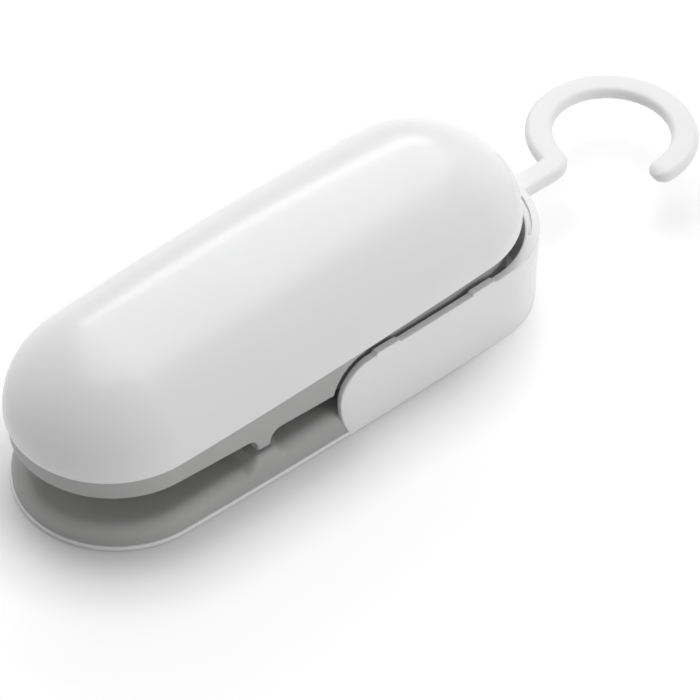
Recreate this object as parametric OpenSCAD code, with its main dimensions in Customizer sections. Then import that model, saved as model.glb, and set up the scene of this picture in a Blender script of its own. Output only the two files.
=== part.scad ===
// Mini bag sealer: a battery-powered clip that heat-seals plastic bags between two jaws.
// Frame: X runs from the jaw mouth (-X) to the hanging hook (+X), Z is up,
// and the origin is the middle of the base, on the surface that it stands on.

/* [Cells] */
// Diameter of one AA cell
cell_d = 14.2; // [13:0.1:15]
// Length of one AA cell, with its button
cell_l = 50.5; // [48:0.1:52]
// Diameter of a cell's button
nub_d = 5.4; // [4:0.1:6.5]
// Height of a cell's button
nub_h = 1; // [0.6:0.1:1.6]
// Space between the two cells
cell_gap = 0.4; // [0.2:0.1:1]
// Space between the cells and the floor of their tray
cell_lift = 0.8; // [0.5:0.1:1.2]
// Space along a cell that its contact spring takes up
cell_spring_l = 4.7; // [4:0.1:6]
// Coil radius of a cell spring at its contact plate
cell_spring_r1 = 4.2; // [3.6:0.1:4.4]
// Coil radius of a cell spring at its cell
cell_spring_r2 = 2.4; // [2:0.1:3]
// Wire diameter of a cell spring
cell_wire = 0.6; // [0.4:0.05:0.7]
// Turns of a cell spring
cell_turns = 3; // [2:0.5:3.5]
// Thickness of the contact plates
contact_t = 0.4; // [0.3:0.05:0.6]
// Height and width of the contact plates
contact_s = 9.2; // [8:0.1:10]
// Width of the tail of a contact plate that its lead is soldered to
tail_w = 1.6; // [1.2:0.1:2]

/* [Base] */
// Length of the base, without the hook
body_l = 111.6; // [104:0.2:120]
// Room from a cell's side to the outside of the body
side_room = 5.05; // [4.8:0.05:6]
// How far the long sides swell past the round ends
side_bulge = 0.45; // [0.2:0.05:0.8]
// Thickness of the base's upright walls
base_wall = 1.5; // [1.2:0.1:1.7]
// Thickness of the base's wall at its rear end
rear_wall = 3.2; // [2.4:0.1:3.6]
// Thickness of the base's floor
floor_t = 1.6; // [1.4:0.1:2]
// Height of the rim that shows under the lower jaw
lip_h = 1.1; // [0.8:0.1:1.3]
// Height of the cheeks and the rear wall
rim_h = 15.8; // [14.5:0.1:16.2]
// Distance of the seam in the rear wall's top from the outside
seam_in = 1.45; // [1:0.05:1.6]
// Width of that seam
seam_w = 0.45; // [0.3:0.05:0.6]
// Depth of that seam
seam_h = 0.7; // [0.4:0.1:1]
// Distance of the seam's ends from the rear end of the base
seam_back = 7.3; // [5:0.1:10]

/* [Cheeks] */
// Length of the cheeks, from the rear end of the base
cheek_l = 58.6; // [54:0.1:62]
// Radius of the cheeks' upper front corner
cheek_top_r = 6.8; // [4:0.1:8]
// Radius of the cheeks' lower front edge
cheek_low_r = 16.5; // [12:0.1:20]
// Length of the raised lands on the cheeks
land_l = 5.4; // [3:0.1:8]
// Height of the raised lands on the cheeks
land_h = 0.5; // [0.3:0.05:0.7]
// Distance of the front lands from the rear end of the base
land_front = 47.6; // [40:0.1:50]
// Distance of the rear lands from the rear end of the base
land_rear = 24.6; // [18:0.1:32]

/* [Pivot] */
// Distance of the pivot from the rear end of the base
pivot_back = 17.8; // [16:0.1:20]
// Height of the pivot
pivot_z = 6.2; // [5.8:0.1:6.6]
// Diameter of the pivot pin
pin_d = 2.5; // [2:0.1:3]
// Tilt of the open jaw's face over the base, in degrees
jaw_tilt = 2; // [1.6:0.1:2.4]
// Swing of the jaw from open to shut, in degrees
jaw_swing = 0.8; // [0.6:0.1:1]
// Inner spacing of the jaw's two ears
ear_span = 15; // [13:0.1:17]
// Thickness of one ear
ear_t = 3; // [2:0.1:3.4]
// Thickness of one pivot post
post_t = 3; // [2:0.1:3.2]
// Width of the slots that the pin snaps through into the pivot posts
snap_w = 2; // [1.6:0.1:2.2]
// Space over the pivot posts
post_room = 0.6; // [0.4:0.1:0.8]
// Space under the ears
ear_room = 1.8; // [1.4:0.1:2]
// Distance from the pivot back to the open stop
stop_back = 8; // [6:0.1:9]
// Thickness of the open stop
stop_t = 2; // [1.5:0.1:3]
// Width of the open stop
stop_w = 12; // [8:0.5:16]

/* [Return spring] */
// Distance of the return spring in front of the pivot
coil_ahead = 12; // [10:0.1:13]
// Coil diameter of the return spring, to the middle of its wire
coil_d = 5.2; // [4.4:0.1:6]
// Wire diameter of the return spring
coil_wire = 0.7; // [0.5:0.05:0.9]
// Turns of the return spring
coil_turns = 4; // [3:0.5:4.5]
// Height of the seat under the return spring, above the floor
coil_seat = 1.2; // [0.8:0.1:1.6]
// Height of the spigots that hold the return spring
coil_spigot = 1.5; // [1:0.1:2]

/* [Upper jaw] */
// Height of the jaw's face while it is level
face_z = 9.45; // [9.2:0.05:10.2]
// Thickness of the tray's floor
tray_floor = 1.6; // [1.5:0.1:2]
// Thickness of the tray's walls
tray_wall = 1.5; // [1.2:0.1:1.7]
// How far the grey band is set in from the cover's edge
band_inset = 0.9; // [0.3:0.05:1.2]
// Space between the tray and the cheeks
cheek_gap = 0.7; // [0.5:0.05:0.9]
// Height from the jaw's face to the cover's edge, at the pivot
part_h = 10.45; // [9.8:0.05:11]
// Angle between the jaw's face and the cover's edge
part_angle = 4.06; // [3.4:0.02:4.4]
// Height of the lip that locates the cover
lip_up = 2; // [1.5:0.1:2.4]
// Depth of the lip's root below the cover's edge
lip_root = 1; // [0.8:0.1:1.4]
// Distance of the sealing ridge from the front end of the base
ridge_back = 36.5; // [34:0.1:39]
// Height of the sealing ridge
ridge_h = 2.9; // [2.6:0.1:3.2]
// Width of the sealing ridge at its tip
ridge_tip = 2.8; // [2.6:0.1:3.2]
// Radius of the fillets at the ridge's root
ridge_fillet = 2.4; // [1.5:0.1:2.5]
// Thickness of the walls that hold the cell contacts
end_wall = 1.6; // [1.2:0.1:2]
// Height of the contact walls over the middle of the cells
end_rise = 4.6; // [3:0.1:5]
// Spacing of the two ribs that the cells lie on
rib_span = 24; // [22.5:0.5:25]
// Thickness of the ribs that the cells lie on
rib_t = 1.5; // [1:0.1:2]
// Height of the ribs over the tray's floor
rib_h = 4; // [3:0.1:5]
// Width of the ribs that the cells lie on
rib_w = 25; // [20:0.5:25.5]

/* [Cover] */
// Wall of the cover
cover_wall = 1.6; // [1.2:0.1:1.8]
// Height of the cover without its crown
cover_h = 14.1; // [13:0.1:15]
// Height of the crown, the cover's long low arch
cover_crown = 3.2; // [2:0.1:4]
// How far the crown's highest place lies behind the cover's middle
crown_back = 4; // [0:0.5:8]
// How far the cover stands out past the front of the base
cover_overhang = 0.5; // [0:0.1:1.5]
// Space between the cover's rear end and the base's rear wall
cover_gap = 1.4; // [1:0.1:2.2]
// Power of the curve of the cover's sides
side_power = 2.07; // [2:0.01:2.4]
// Power of the curve of the cover's top
top_power = 2.38; // [2:0.01:2.6]

/* [Lower jaw] */
// How far the lower jaw is set in from the side of the base
lower_inset = 0.3; // [0.2:0.05:0.5]
// Wall of the lower jaw
lower_wall = 1.6; // [1.2:0.1:1.8]
// Height of the lower jaw's top at the seal
lower_z = 5.85; // [5.6:0.05:6.1]
// Fall of the lower jaw's top towards the mouth, in degrees
lower_slope = 1.75; // [1.5:0.05:2]
// How far the lower jaw reaches in between the cheeks
lower_reach = 5.4; // [4:0.1:6]
// Radius of the fillets beside the ridge that carries the pad
anvil_fillet = 1.5; // [1:0.1:1.7]
// Width of the silicone pad
pad_w = 2.8; // [2.4:0.1:3.2]
// Overlap of the silicone pad past each end of the film
pad_over = 0.15; // [0.1:0.05:0.6]
// Thickness of the silicone pad
pad_t = 1.5; // [1:0.1:1.8]
// How far the pad stands out of its ridge
pad_proud = 0.15; // [0.1:0.05:0.3]
// Ledge around the pad
pad_ledge = 0.6; // [0.5:0.1:0.8]

/* [Heater] */
// Length of the insulating core in the ridge
core_l = 26; // [24:0.1:26.4]
// Width of the core
core_w = 1.9; // [1.6:0.1:2]
// Height of the core
core_h = 2; // [1.6:0.1:2.2]
// Thickness of the heating ribbon
ribbon_t = 0.15; // [0.1:0.01:0.2]
// Width of the heating ribbon
ribbon_w = 1.6; // [1.2:0.1:1.6]
// Thickness of the non-stick film
film_t = 0.12; // [0.08:0.01:0.16]
// How far the film stands out of the ridge
film_proud = 0.15; // [0.13:0.01:0.2]
// Overlap of the film past each end of the core
film_over = 1.2; // [0.6:0.1:1.4]
// Height of the ribbon's ends over the tray's floor
leg_up = 2; // [1.8:0.1:2.2]
// Width of a crimp along the body
crimp_w = 2.2; // [2:0.1:2.6]
// Thickness of a crimp
crimp_t = 1.2; // [1:0.05:1.3]
// Height of a crimp
crimp_h = 1.7; // [1.6:0.05:1.8]

/* [Switch] */
// Length of the switch
switch_l = 12.8; // [12:0.1:13.4]
// Width of the switch
switch_w = 5.8; // [5:0.1:6.4]
// Height of the switch
switch_h = 4.8; // [4.4:0.1:5]
// Distance of the switch's middle in front of the pivot
switch_ahead = 25.5; // [25:0.1:26.5]
// Distance of the plunger in front of the switch's middle
plunger_ahead = 3; // [2:0.1:4]
// Diameter of the plunger
plunger_d = 2.4; // [2:0.1:2.8]
// Length of the plunger
plunger_l = 3.3; // [3.2:0.1:3.5]
// Depth of the plunger's hole in the switch
plunger_hole = 2.2; // [2.1:0.1:2.6]
// Diameter of the post that works the plunger
striker_d = 4; // [3:0.1:5]
// Height of the post that works the plunger, above the floor
striker_h = 1.6; // [1.4:0.1:1.8]
// Thickness of the brackets beside the switch
bracket_t = 1.2; // [1:0.1:1.5]
// Depth of the brackets below the jaw's face
bracket_h = 4; // [3.6:0.1:4.2]
// Diameter of the pins that hold the switch
switch_pin_d = 1.8; // [1.4:0.1:2]
// Spacing of the switch pins
switch_pin_span = 6.4; // [6:0.1:6.8]
// Depth of the switch pins below the jaw's face
switch_pin_drop = 1.9; // [1.7:0.1:2.1]
// Spacing of the switch's terminals
term_span = 7; // [6.6:0.1:7.2]
// Width of a terminal
term_w = 2; // [1.6:0.1:2.2]
// Thickness of a terminal
term_t = 0.6; // [0.4:0.05:0.8]
// Height of the terminals over the tray's floor
term_up = 1.7; // [1.2:0.1:2]

/* [Leads] */
// Diameter of the leads
lead_d = 1.2; // [1:0.05:1.3]
// Height of the leads' middle over the tray's floor
lead_z = 1; // [0.8:0.05:1.2]
// Depth of the channel that takes a lead under a cell
channel_h = 0.9; // [0.8:0.05:1]
// Width of that channel
channel_w = 1.6; // [1.5:0.1:2]
// Space between a lead and the wall that it runs along
lead_gap = 0.5; // [0.3:0.05:0.6]
// Radius of the bends in the leads
lead_bend = 2; // [1.5:0.1:2.4]

/* [Hook] */
// Height of the hook's middle
hook_z = 11.9; // [11:0.05:12]
// Distance of the ring's middle from the rear end of the base
hook_reach = 26.2; // [24:0.1:30]
// Radius of the ring, to the middle of its bar
ring_r = 13.8; // [12:0.1:15]
// Width of the hook's bar
bar_w = 5.2; // [4.4:0.1:5.6]
// Thickness of the hook's bar
bar_t = 2.7; // [2.6:0.1:3.4]
// Radius of the bar's edges
bar_round = 1.2; // [0.8:0.05:1.25]
// Radius of the bend between the shank and the ring
bend_r = 3; // [2.9:0.1:4]
// Angle at which the hook's free end stops
tip_angle = -91; // [-110:1:-80]
// Diameter of the hook's stem
stem_d = 2.4; // [2.2:0.1:2.5]
// Diameter of the boss around the stem
boss_d = 6.8; // [6:0.1:7.2]
// Length of the boss inside the rear wall
boss_l = 0.4; // [0.3:0.1:0.8]
// Thickness of the clip on the stem
clip_t = 0.9; // [0.6:0.05:1]
// Diameter of the clip
clip_d = 6.2; // [5.6:0.1:6.6]
// Depth of the clip's groove in the stem
groove_h = 0.45; // [0.3:0.05:0.6]
// Length of the stem past the clip
stem_end = 0.7; // [0.5:0.1:0.9]

/* [Screws] */
// Diameter of the screws' shank
screw_d = 1.8; // [1.6:0.1:2]
// Length of the screws' shank
screw_l = 3.1; // [2.8:0.1:3.2]
// Diameter of the screws' head
head_d = 3.8; // [3.4:0.1:4.2]
// Height of the screws' head
head_h = 1.1; // [0.9:0.05:1.2]
// Width of the cross slots in a screw's head
slot_w = 0.6; // [0.4:0.05:0.7]
// Depth of the cross slots in a screw's head
slot_h = 0.6; // [0.4:0.05:0.7]
// Depth of the screw heads below the base
head_sink = 0.2; // [0.1:0.05:0.3]
// Thickness of the floor that a screw head bears on
head_web = 1.1; // [1:0.05:1.3]
// Wall around a screw in its boss
boss_wall = 1.3; // [1:0.1:1.6]
// Distance of the front screw from the front end of the base
screw_front = 16; // [14:0.1:20]
// Distance of the rear screws in front of the cheeks
screw_rear = 6; // [5.5:0.1:7]
// Distance of the rear screws from the middle
screw_side = 10; // [8:0.1:12]

/* [Fits] */
// Radial space of a turning or sliding fit
run_fit = 0.05; // [0.03:0.01:0.08]
// Space between parts that are fixed together
fix_fit = 0.05; // [0.02:0.01:0.08]
// Space beside parts that move past each other
side_fit = 0.3; // [0.2:0.05:0.4]
// Space between the cover's inside and the lip that locates it
cover_fit = 0.45; // [0.4:0.05:0.5]

/* [Hidden] */
$fn = 96;
white = [0.95, 0.95, 0.94];
grey = [0.56, 0.57, 0.57];
steel = [0.72, 0.73, 0.75];

// Outline of the body in plan
body_w = 2 * cell_d + cell_gap + 2 * side_room;
end_r = body_w / 2 - side_bulge;
base_front = -body_l / 2;
base_rear = body_l / 2;
cover_front = base_front - cover_overhang;
cover_rear = base_rear - rear_wall - cover_gap;
cover_l = cover_rear - cover_front;
// The open jaw stands further back than the level one; the cover's place is that of the open jaw
open_shift = (face_z + part_h - pivot_z) * sin(jaw_tilt);
cover_x = (cover_front + cover_rear) / 2 - open_shift;
// Straight steps along a swollen side, and how far its ends are tucked into the round ends
side_steps = 10;
side_tuck = 0.02;
// Longer than any cut has to reach
reach = 2 * body_l;

// Places along the body
cheek_x = base_rear - cheek_l;
cheek_nose_z = rim_h - cheek_top_r;
pivot_x = base_rear - pivot_back;
ridge_x = base_front + ridge_back;
switch_x = pivot_x - switch_ahead;
plunger_x = switch_x - plunger_ahead;
coil_x = pivot_x - coil_ahead;
lower_end = cheek_x + lower_reach;

// Heights of the jaw while its face is level
tray_z = face_z + tray_floor;
tip_z = face_z - ridge_h;
film_z = tip_z - film_proud;

// Height over the floor of the ridge's rear edge, at height z on the jaw, with the jaw shut
function shut_z(z) = let (tilt = jaw_tilt - jaw_swing)
    pivot_z + (pivot_x - ridge_x - ridge_tip / 2) * sin(tilt) + (z - pivot_z) * cos(tilt);

// The shut jaw's film meets the pad, and its ridge meets the stops at the pad's ends
pad_top = shut_z(film_z) - run_fit;
anvil_stop = shut_z(tip_z) - run_fit;
anvil_top = pad_top - pad_proud;
anvil_w = pad_w + 2 * pad_ledge;

// The film covers the core and its ribbon, and the pad lies under the whole film
film_l = core_l + 2 * ribbon_t + 2 * film_over;
pad_l = film_l + 2 * pad_over;

// Walls of the tray, counted in from the cover's outline
rear_inset = base_wall + cheek_gap;
well_inset = rear_inset + tray_wall;
lip_inset = cover_wall + cover_fit;

// Cells, end to end in the tray
cell_y = (cell_d + cell_gap) / 2;
cell_z = tray_z + cell_lift + cell_d / 2;
bay_l = cell_l + cell_spring_l + 2 * contact_t;
end_w = 2 * cell_y + contact_s + 2 * end_wall;

// Bends of the hook: its bend and its ring meet along one tangent
ring_x = base_rear + hook_reach;
bend_turn = asin(bend_r / (ring_r + bend_r));
bend_x = ring_x - (ring_r + bend_r) * cos(bend_turn);
shank_x = base_rear + side_fit;
boss_x = base_rear - rear_wall - boss_l;
clip_x = boss_x - run_fit - clip_t;

// Turning parts of the pivot
post_r = face_z - pivot_z - post_room;
ear_r = pivot_z - floor_t - ear_room;
ear_y = ear_span / 2;
post_y = ear_y + ear_t + side_fit;
pin_l = 2 * (post_y + post_t);

// Screws, from below
head_z = head_sink + head_h;
screw_seat = head_z + head_web;
screw_spots = [
    [base_front + screw_front, 0],
    [cheek_x - screw_rear, screw_side],
    [cheek_x - screw_rear, -screw_side]
];

// How far the plunger hangs out of the open jaw, past its place in the level one
plunger_arm = pivot_x - plunger_x;
plunger_out = plunger_arm * jaw_tilt * PI / 180;
striker_z = floor_t + striker_h;
switch_z = face_z - switch_h - fix_fit;

// Height of the open jaw's face over the floor, at x
function open_face(x) = pivot_z + (face_z - pivot_z) / cos(jaw_tilt) - (x - pivot_x) * tan(jaw_tilt);

// Height of the lower jaw's top at x
function lower_top(x) = lower_z + (x - ridge_x) * tan(lower_slope);

// Half the width of an outline of length l at x, between the middles of its round ends
function half_width(l, x) = body_w / 2 - (side_bulge + side_tuck) * pow(x / (l / 2 - end_r), 2);

// The body's outline in plan: round ends joined by slightly swollen sides
module outline(l, inset) {
    mid = l / 2 - end_r;
    xs = [for (i = [0 : side_steps]) mid * (2 * i / side_steps - 1)];
    for (s = [-1, 1])
        translate([s * mid, 0])
            circle(end_r - inset);
    polygon(concat(
        [for (x = xs) [x, inset - half_width(l, x)]],
        [for (x = xs) [-x, half_width(l, x) - inset]]
    ));
}

module base_outline(inset) {
    outline(body_l, inset);
}

// The inside of the base's walls, less a gap
module base_hollow(gap) {
    outline(body_l - 2 * (rear_wall - base_wall), base_wall + gap);
}

module cover_outline(inset) {
    translate([cover_x, 0])
        outline(cover_l, inset);
}

// Everything behind x, in plan
module behind(x) {
    translate([x, -body_w])
        square([reach, 2 * body_w]);
}

// Turns what is drawn with the jaw level to the open jaw
module opened() {
    translate([pivot_x, 0, pivot_z])
        rotate([0, jaw_tilt, 0])
            translate([-pivot_x, 0, -pivot_z])
                children();
}

// Frame of the cover: its edge lies in Z = 0, with X as on the base
module on_cover() {
    translate([pivot_x, 0, face_z + part_h])
        rotate([0, -part_angle, 0])
            translate([-pivot_x, 0, 0])
                children();
}

// Stands a side view (X, Z) up and gives it a width about Y = 0
module across(width) {
    translate([0, width / 2, 0])
        rotate([90, 0, 0])
            linear_extrude(width)
                children();
}

// The same on both sides, from y outwards
module both_sides(y, width) {
    for (s = [-1, 1])
        translate([0, s * (y + width / 2), 0])
            across(width)
                children();
}

// Side view of the cheeks, grown by a gap at their front edge
module cheek_side(gap) {
    low = cheek_low_r + gap;
    top = cheek_top_r + gap;
    difference() {
        translate([cheek_x - gap, 0])
            square([cheek_l + base_wall, rim_h + gap]);
        difference() {
            translate([cheek_x - gap, cheek_nose_z])
                square(top);
            translate([cheek_x + cheek_top_r, cheek_nose_z])
                circle(top);
        }
        difference() {
            translate([cheek_x - gap, cheek_nose_z - low])
                square(low);
            translate([cheek_x + cheek_low_r, cheek_nose_z])
                circle(low);
        }
    }
}

// Upright walls of the base, up to a height
module wall_ring(h) {
    linear_extrude(h)
        difference() {
            base_outline(0);
            base_hollow(0);
        }
}

// A pillar with a round head about the pivot, as a side view
module pillar_up(r, z) {
    translate([pivot_x, pivot_z])
        circle(r);
    translate([pivot_x - r, z])
        square([2 * r, pivot_z - z]);
}

module base_shell() {
    color(white)
        difference() {
            union() {
                linear_extrude(lip_h)
                    base_outline(0);
                linear_extrude(floor_t)
                    base_outline(lower_inset + lower_wall + fix_fit);
                intersection() {
                    union() {
                        wall_ring(rim_h);
                        linear_extrude(floor_t)
                            base_outline(0);
                    }
                    across(2 * body_w)
                        cheek_side(0);
                }
                intersection() {
                    wall_ring(rim_h + land_h);
                    for (x = [land_front, land_rear])
                        translate([base_rear - x - land_l / 2, -body_w, rim_h - land_h])
                            cube([land_l, 2 * body_w, 2 * land_h]);
                }
                both_sides(post_y, post_t)
                    pillar_up(post_r, floor_t / 2);
                translate([pivot_x + stop_back - stop_t, -stop_w / 2, 0])
                    cube([stop_t, stop_w, open_face(pivot_x + stop_back) - run_fit]);
                translate([coil_x, 0, 0])
                    cylinder(d = coil_d + 2 * coil_wire, h = floor_t + coil_seat);
                translate([coil_x, 0, 0])
                    cylinder(d = coil_d - coil_wire - 2 * side_fit, h = floor_t + coil_seat + coil_spigot);
                translate([plunger_x, 0, 0])
                    cylinder(d = striker_d, h = striker_z);
                for (p = screw_spots)
                    translate(p)
                        cylinder(d = head_d + 2 * boss_wall, h = screw_seat);
                translate([boss_x, 0, hook_z])
                    rotate([0, 90, 0])
                        cylinder(d = boss_d, h = boss_l + rear_wall / 2);
            }
            translate([pivot_x, 0, pivot_z])
                rotate([90, 0, 0])
                    cylinder(d = pin_d + 2 * fix_fit, h = pin_l + side_fit, center = true);
            translate([pivot_x - snap_w / 2, -pin_l / 2, pivot_z])
                cube([snap_w, pin_l, post_r + post_room]);
            translate([pivot_x, 0, hook_z])
                rotate([0, 90, 0])
                    cylinder(d = stem_d + 2 * run_fit, h = pivot_back + base_wall);
            for (p = screw_spots)
                translate([p[0], p[1], -floor_t]) {
                    cylinder(d = head_d + 2 * side_fit, h = floor_t + head_z);
                    cylinder(d = screw_d + 2 * side_fit, h = 2 * floor_t + screw_seat);
                }
            translate([0, 0, rim_h - seam_h])
                linear_extrude(rim_h)
                    difference() {
                        intersection() {
                            base_outline(seam_in);
                            behind(base_rear - seam_back);
                        }
                        base_outline(seam_in + seam_w);
                    }
        }
}

// Places what is drawn about the lower jaw's top at the seal, along its slope
module on_lower_top() {
    translate([ridge_x, 0, lower_z])
        rotate([0, -lower_slope, 0])
            children();
}

// All that lies below the lower jaw's top, less a depth
module under_lower_top(depth) {
    translate([0, 0, -depth])
        on_lower_top()
            translate([-reach / 2, -body_w, -reach])
                cube([reach, 2 * body_w, reach]);
}

// Side view of the ridge that carries the pad, about its foot: a bar with filleted roots
module anvil_side() {
    translate([-anvil_w / 2, -lower_wall / 2])
        square([anvil_w, lower_wall / 2 + rim_h]);
    for (s = [-1, 1])
        translate([s * (anvil_w + anvil_fillet) / 2, 0])
            difference() {
                translate([-anvil_fillet / 2, -lower_wall / 2])
                    square([anvil_fillet, lower_wall / 2 + anvil_fillet]);
                translate([s * anvil_fillet / 2, anvil_fillet])
                    circle(anvil_fillet);
            }
}

// Ridge across the lower jaw, lower between the stops at its ends
module anvil() {
    intersection() {
        on_lower_top()
            across(2 * body_w)
                anvil_side();
        linear_extrude(anvil_stop)
            base_outline(lower_inset);
    }
}

module lower_jaw() {
    pad_bed = pad_top - pad_t;
    color(grey)
        difference() {
            union() {
                difference() {
                    intersection() {
                        translate([0, 0, lip_h])
                            linear_extrude(lower_top(lower_end) + lip_h)
                                difference() {
                                    base_outline(lower_inset);
                                    behind(lower_end);
                                }
                        under_lower_top(0);
                    }
                    intersection() {
                        linear_extrude(rim_h)
                            difference() {
                                square([reach, 2 * body_w], center = true);
                                base_hollow(fix_fit);
                            }
                        across(2 * body_w)
                            cheek_side(fix_fit);
                    }
                    intersection() {
                        linear_extrude(lower_top(lower_end) + lip_h)
                            difference() {
                                base_outline(lower_inset + lower_wall);
                                behind(lower_end - lower_wall);
                            }
                        under_lower_top(lower_wall);
                    }
                }
                anvil();
                intersection() {
                    for (p = screw_spots)
                        translate([p[0], p[1], screw_seat])
                            cylinder(d = screw_d + 2 * boss_wall, h = rim_h);
                    under_lower_top(0);
                }
            }
            linear_extrude(floor_t + fix_fit)
                base_outline(lower_inset + lower_wall);
            intersection() {
                linear_extrude(floor_t + fix_fit)
                    base_outline(0);
                across(2 * body_w)
                    cheek_side(fix_fit);
            }
            translate([ridge_x - anvil_w, -pad_l / 2 - pad_ledge, anvil_top])
                cube([2 * anvil_w, pad_l + 2 * pad_ledge, rim_h]);
            translate([ridge_x - pad_w / 2 - fix_fit, -pad_l / 2 - fix_fit, pad_bed - fix_fit])
                cube([pad_w + 2 * fix_fit, pad_l + 2 * fix_fit, rim_h]);
            for (p = screw_spots)
                translate([p[0], p[1], screw_seat - head_web])
                    cylinder(d = screw_d + 2 * fix_fit, h = screw_l + fix_fit);
        }
}

module seal_pad() {
    color([0.45, 0.45, 0.45])
        translate([ridge_x - pad_w / 2, -pad_l / 2, pad_top - pad_t])
            cube([pad_w, pad_l, pad_t]);
}

module base_screws() {
    color(steel)
        for (p = screw_spots)
            translate([p[0], p[1], head_sink])
                difference() {
                    union() {
                        cylinder(d = head_d, h = head_h - fix_fit);
                        cylinder(d = screw_d, h = head_h + screw_l - fix_fit);
                    }
                    for (a = [0, 90])
                        rotate([0, 0, a])
                            cube([head_d - 2 * slot_w, slot_w, 2 * slot_h], center = true);
                }
}

module hinge_pin() {
    color(steel)
        translate([pivot_x, 0, pivot_z])
            rotate([90, 0, 0])
                cylinder(d = pin_d, h = pin_l, center = true);
}

// Sections for a bar or wire that is swept along a path
function round_section(d, n) = [for (k = [0 : n - 1]) d / 2 * [cos(360 * k / n), sin(360 * k / n)]];
function oblong_section(w, t, r, n) = [
    for (q = [0 : 3], i = [0 : n])
        let (a = 90 * (q + i / n), sx = q == 0 || q == 3 ? 1 : -1, sy = q < 2 ? 1 : -1)
            [sx * (w / 2 - r) + r * cos(a), sy * (t / 2 - r) + r * sin(a)]
];

// Rings of a section around a path, square to it; the path never runs along the axis up
function unit(v) = v / norm(v);
function along(path, i) = unit(path[min(i + 1, len(path) - 1)] - path[max(i - 1, 0)]);
function sweep_points(path, section, up, sizes) = [
    for (i = [0 : len(path) - 1])
        let (t = along(path, i), u = unit(cross(t, up)), v = cross(t, u))
            for (c = section)
                path[i] + sizes[i] * (c[0] * u + c[1] * v)
];
function sweep_sides(rings, n) = [
    for (i = [0 : rings - 2], k = [0 : n - 1])
        let (a = i * n + k, b = i * n + (k + 1) % n)
            each [[a, a + n, b], [b, a + n, b + n]]
];
function sweep_ends(rings, n) = [
    for (k = [1 : n - 2])
        let (z = (rings - 1) * n)
            each [[0, k, k + 1], [z, z + k + 1, z + k]]
];

// One unbroken bar along a path; sizes scales its section at each point
module sweep(path, section, up, sizes) {
    m = len(path);
    n = len(section);
    polyhedron(sweep_points(path, section, up, sizes), concat(sweep_sides(m, n), sweep_ends(m, n)));
}

module wire(path, d, n, up) {
    sweep(path, round_section(d, n), up, [for (p = path) 1]);
}

// Points of a coil about +Z, with its wire's middle from z = 0 to h
coil_steps = 8;
function coil(r1, r2, h, turns) = [
    for (i = [0 : turns * coil_steps])
        let (f = i / (turns * coil_steps), r = r1 + (r2 - r1) * f)
            [r * cos(360 * i / coil_steps), r * sin(360 * i / coil_steps), h * f]
];
// Least distance between the points of one turn and those of another, less the wire
function coil_space(path, d) = min([
    for (i = [0 : len(path) - 1], j = [0 : len(path) - 1])
        if (j - i > coil_steps / 2)
            norm(path[j] - path[i])
]) - d;

// The return spring stands on the base's seat and meets the open jaw's face
coil_foot = floor_t + coil_seat + coil_wire / 2;
coil_head = open_face(coil_x + coil_d / 2 + coil_wire / 2) - coil_wire / 2 - run_fit;
return_path = coil(coil_d / 2, coil_d / 2, coil_head - coil_foot, coil_turns);
cell_path = coil(cell_spring_r1, cell_spring_r2, cell_spring_l - cell_wire, cell_turns);
wire_sides_n = 6;

module return_spring() {
    echo(return_spring_space = coil_space(return_path, coil_wire));
    color(steel)
        translate([coil_x, 0, coil_foot])
            wire(return_path, coil_wire, wire_sides_n, [0, 0, 1]);
}

// Side view of the sealing ridge: a bar with filleted roots
module ridge_side() {
    translate([ridge_x - ridge_tip / 2, tip_z])
        square([ridge_tip, ridge_h + tray_floor / 2]);
    for (s = [-1, 1])
        translate([ridge_x + s * (ridge_tip + ridge_fillet) / 2, face_z - ridge_fillet / 2])
            difference() {
                square(ridge_fillet, center = true);
                translate([s * ridge_fillet / 2, -ridge_fillet / 2])
                    circle(ridge_fillet);
            }
}

// Tray of the upper jaw, cut off along the cover's edge, with the lip that locates the cover
module jaw_tray() {
    difference() {
        union() {
            intersection() {
                difference() {
                    translate([0, 0, face_z])
                        linear_extrude(rim_h)
                            cover_outline(band_inset);
                    intersection() {
                        linear_extrude(reach)
                            difference() {
                                square([reach, 2 * body_w], center = true);
                                cover_outline(rear_inset);
                            }
                        across(2 * body_w) {
                            cheek_side(cheek_gap);
                            translate([cheek_x + cheek_top_r, 0])
                                square(reach);
                        }
                    }
                }
                on_cover()
                    translate([-reach / 2, -body_w, -reach - run_fit])
                        cube([reach, 2 * body_w, reach]);
            }
            on_cover()
                translate([0, 0, -lip_root])
                    linear_extrude(lip_root + lip_up)
                        difference() {
                            cover_outline(lip_inset);
                            cover_outline(well_inset + tray_wall);
                        }
        }
        translate([0, 0, tray_z])
            linear_extrude(reach)
                cover_outline(well_inset);
    }
}

// What stands in the tray: contact walls and the ribs that the cells lie on
module tray_inside() {
    intersection() {
        union() {
            for (x = [-bay_l / 2 - end_wall, bay_l / 2])
                translate([x, -end_w / 2, face_z + tray_floor / 2])
                    cube([end_wall, end_w, cell_z + end_rise - face_z - tray_floor / 2]);
            difference() {
                for (s = [-1, 1])
                    translate([s * rib_span / 2 - rib_t / 2, -rib_w / 2, face_z + tray_floor / 2])
                        cube([rib_t, rib_w, tray_floor / 2 + rib_h]);
                for (s = [-1, 1])
                    translate([0, s * cell_y, cell_z])
                        rotate([0, 90, 0])
                            cylinder(d = cell_d + 2 * fix_fit, h = cell_l, center = true);
            }
        }
        translate([0, 0, face_z])
            linear_extrude(reach)
                cover_outline(well_inset - tray_wall / 2);
    }
}

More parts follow.
